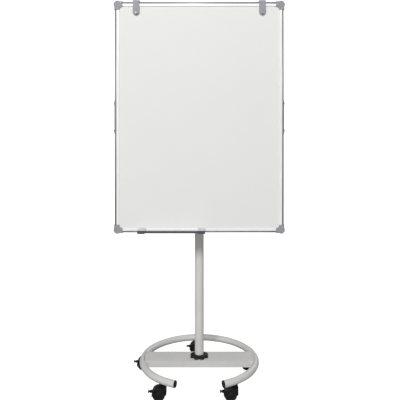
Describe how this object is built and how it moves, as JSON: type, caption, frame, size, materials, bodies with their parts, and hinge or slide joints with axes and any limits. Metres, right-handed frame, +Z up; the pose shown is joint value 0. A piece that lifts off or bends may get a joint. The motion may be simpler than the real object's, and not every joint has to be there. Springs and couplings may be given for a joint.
{
  "type": "flipchart easel",
  "caption": "Framed dry-wipe board on a telescopic column with a tilting head, sliding pad hooks and pen tray, on an open ring base with braked casters.",
  "frame": {"origin": "centre of the object's box on the floor; the column axis is 12.4 mm in front of it", "axes": "+Z up, -Y towards the person facing the board, +X to that person's right"},
  "size_m": [0.7098, 0.4932, 1.595],
  "materials": {
    "base_paint": "satin light grey powder paint",
    "column_paint": "satin light warm grey powder paint",
    "zinc_steel": "zinc plated",
    "black_plastic": "moulded, fine texture",
    "dark_steel": "black plated",
    "head_casting": "dark coated casting",
    "channel_paint": "satin dark grey paint",
    "writing_enamel": "smooth white writing lacquer",
    "core_board": "plain fibre board",
    "frame_metal": "satin anodised",
    "grey_plastic": "moulded grey",
    "tray_grey": "moulded grey",
    "tray_dark": "moulded dark grey",
    "caster_hood_plastic": "moulded black",
    "wheel_plastic": "hard black wheel"
  },
  "bodies": {
    "base": {"base_ring": "base_paint", "ring_end_caps": "black_plastic", "base_crossbar": "base_paint", "foot_collar": "black_plastic", "caster_stems": "dark_steel", "column_outer_tube": "column_paint", "guide_bush": "black_plastic", "clamp_collar": "black_plastic"},
    "mast": {"column_inner_tube": "zinc_steel", "tilt_head": "head_casting"},
    "clamp_knob": {"clamp_knob": "black_plastic"},
    "board": {"support_channel": "channel_paint", "channel_screws": "zinc_steel", "tilt_pin": "zinc_steel", "writing_sheet": "writing_enamel", "board_core": "core_board", "rail_top": "frame_metal", "rail_bottom": "frame_metal", "rail_left": "frame_metal", "rail_right": "frame_metal", "corner_top_left": "grey_plastic", "corner_top_right": "grey_plastic", "corner_bottom_left": "grey_plastic", "corner_bottom_right": "grey_plastic"},
    "tilt_knob": {"tilt_knob": "black_plastic"},
    "pad_hook_left": {"pad_hook_left": "grey_plastic", "pad_peg_left": "zinc_steel"},
    "pad_hook_right": {"pad_hook_right": "grey_plastic", "pad_peg_right": "zinc_steel"},
    "pen_tray": {"pen_tray": "tray_grey", "tray_front": "tray_dark", "tray_end_caps": "tray_grey"},
    "caster_1_swivel": {"caster_1_hood": "caster_hood_plastic", "caster_1_axle": "zinc_steel"},
    "caster_1_wheel_front": {"caster_1_wheel_front": "wheel_plastic"},
    "caster_1_wheel_back": {"caster_1_wheel_back": "wheel_plastic"},
    "caster_1_brake": {"caster_1_brake": "caster_hood_plastic"},
    "caster_2_swivel": {"caster_2_hood": "caster_hood_plastic", "caster_2_axle": "zinc_steel"},
    "caster_2_wheel_front": {"caster_2_wheel_front": "wheel_plastic"},
    "caster_2_wheel_back": {"caster_2_wheel_back": "wheel_plastic"},
    "caster_2_brake": {"caster_2_brake": "caster_hood_plastic"},
    "caster_3_swivel": {"caster_3_hood": "caster_hood_plastic", "caster_3_axle": "zinc_steel"},
    "caster_3_wheel_front": {"caster_3_wheel_front": "wheel_plastic"},
    "caster_3_wheel_back": {"caster_3_wheel_back": "wheel_plastic"},
    "caster_3_brake": {"caster_3_brake": "caster_hood_plastic"},
    "caster_4_swivel": {"caster_4_hood": "caster_hood_plastic", "caster_4_axle": "zinc_steel"},
    "caster_4_wheel_front": {"caster_4_wheel_front": "wheel_plastic"},
    "caster_4_wheel_back": {"caster_4_wheel_back": "wheel_plastic"},
    "caster_4_brake": {"caster_4_brake": "caster_hood_plastic"},
    "caster_5_swivel": {"caster_5_hood": "caster_hood_plastic", "caster_5_axle": "zinc_steel"},
    "caster_5_wheel_front": {"caster_5_wheel_front": "wheel_plastic"},
    "caster_5_wheel_back": {"caster_5_wheel_back": "wheel_plastic"},
    "caster_5_brake": {"caster_5_brake": "caster_hood_plastic"}
  },
  "joints": [
    {"name": "height_slide", "type": "slide", "parent": "base", "child": "mast", "axis": [0, 0, 1], "range_m": [0, 0.35]},
    {"name": "clamp_knob_turn", "type": "hinge", "parent": "base", "child": "clamp_knob", "pos_m": [0, 0.03158, 0.91], "axis": [0, 1, 0], "range_deg": [0, 180]},
    {"name": "board_tilt", "type": "hinge", "parent": "mast", "child": "board", "pos_m": [0, -0.04042, 1.1115], "axis": [-1, 0, 0], "range_deg": [0, 45]},
    {"name": "tilt_knob_turn", "type": "hinge", "parent": "board", "child": "tilt_knob", "pos_m": [0.03, -0.04042, 1.1115], "axis": [1, 0, 0], "range_deg": [0, 180]},
    {"name": "pad_hook_left_slide", "type": "slide", "parent": "board", "child": "pad_hook_left", "axis": [1, 0, 0], "range_m": [-0.035, 0.11]},
    {"name": "pad_hook_right_slide", "type": "slide", "parent": "board", "child": "pad_hook_right", "axis": [-1, 0, 0], "range_m": [-0.035, 0.11]},
    {"name": "pen_tray_slide", "type": "slide", "parent": "board", "child": "pen_tray", "axis": [1, 0, 0], "range_m": [-0.06, 0.285]},
    {"name": "caster_1_swivel", "type": "hinge", "parent": "base", "child": "caster_1_swivel", "pos_m": [0, 0.22758, 0.05], "axis": [0, 0, 1], "continuous": true},
    {"name": "caster_1_wheel_front_spin", "type": "hinge", "parent": "caster_1_swivel", "child": "caster_1_wheel_front", "pos_m": [-0.018, 0.21573, 0.025], "axis": [0, 1, 0], "continuous": true},
    {"name": "caster_1_wheel_back_spin", "type": "hinge", "parent": "caster_1_swivel", "child": "caster_1_wheel_back", "pos_m": [-0.018, 0.23943, 0.025], "axis": [0, 1, 0], "continuous": true},
    {"name": "caster_1_brake_press", "type": "hinge", "parent": "caster_1_swivel", "child": "caster_1_brake", "pos_m": [-0.05, 0.22758, 0.033], "axis": [0, -1, 0], "range_deg": [0, 12]},
    {"name": "caster_2_swivel", "type": "hinge", "parent": "base", "child": "caster_2_swivel", "pos_m": [-0.22825, 0.06175, 0.05], "axis": [0, 0, 1], "continuous": true},
    {"name": "caster_2_wheel_front_spin", "type": "hinge", "parent": "caster_2_swivel", "child": "caster_2_wheel_front", "pos_m": [-0.24625, 0.0499, 0.025], "axis": [0, 1, 0], "continuous": true},
    {"name": "caster_2_wheel_back_spin", "type": "hinge", "parent": "caster_2_swivel", "child": "caster_2_wheel_back", "pos_m": [-0.24625, 0.0736, 0.025], "axis": [0, 1, 0], "continuous": true},
    {"name": "caster_2_brake_press", "type": "hinge", "parent": "caster_2_swivel", "child": "caster_2_brake", "pos_m": [-0.27825, 0.06175, 0.033], "axis": [0, -1, 0], "range_deg": [0, 12]},
    {"name": "caster_3_swivel", "type": "hinge", "parent": "base", "child": "caster_3_swivel", "pos_m": [-0.14107, -0.20658, 0.05], "axis": [0, 0, 1], "continuous": true},
    {"name": "caster_3_wheel_front_spin", "type": "hinge", "parent": "caster_3_swivel", "child": "caster_3_wheel_front", "pos_m": [-0.15907, -0.21843, 0.025], "axis": [0, 1, 0], "continuous": true},
    {"name": "caster_3_wheel_back_spin", "type": "hinge", "parent": "caster_3_swivel", "child": "caster_3_wheel_back", "pos_m": [-0.15907, -0.19473, 0.025], "axis": [0, 1, 0], "continuous": true},
    {"name": "caster_3_brake_press", "type": "hinge", "parent": "caster_3_swivel", "child": "caster_3_brake", "pos_m": [-0.19107, -0.20658, 0.033], "axis": [0, -1, 0], "range_deg": [0, 12]},
    {"name": "caster_4_swivel", "type": "hinge", "parent": "base", "child": "caster_4_swivel", "pos_m": [0.14107, -0.20658, 0.05], "axis": [0, 0, 1], "continuous": true},
    {"name": "caster_4_wheel_front_spin", "type": "hinge", "parent": "caster_4_swivel", "child": "caster_4_wheel_front", "pos_m": [0.12307, -0.21843, 0.025], "axis": [0, 1, 0], "continuous": true},
    {"name": "caster_4_wheel_back_spin", "type": "hinge", "parent": "caster_4_swivel", "child": "caster_4_wheel_back", "pos_m": [0.12307, -0.19473, 0.025], "axis": [0, 1, 0], "continuous": true},
    {"name": "caster_4_brake_press", "type": "hinge", "parent": "caster_4_swivel", "child": "caster_4_brake", "pos_m": [0.09107, -0.20658, 0.033], "axis": [0, -1, 0], "range_deg": [0, 12]},
    {"name": "caster_5_swivel", "type": "hinge", "parent": "base", "child": "caster_5_swivel", "pos_m": [0.22825, 0.06175, 0.05], "axis": [0, 0, 1], "continuous": true},
    {"name": "caster_5_wheel_front_spin", "type": "hinge", "parent": "caster_5_swivel", "child": "caster_5_wheel_front", "pos_m": [0.21025, 0.0499, 0.025], "axis": [0, 1, 0], "continuous": true},
    {"name": "caster_5_wheel_back_spin", "type": "hinge", "parent": "caster_5_swivel", "child": "caster_5_wheel_back", "pos_m": [0.21025, 0.0736, 0.025], "axis": [0, 1, 0], "continuous": true},
    {"name": "caster_5_brake_press", "type": "hinge", "parent": "caster_5_swivel", "child": "caster_5_brake", "pos_m": [0.17825, 0.06175, 0.033], "axis": [0, -1, 0], "range_deg": [0, 12]}
  ]
}
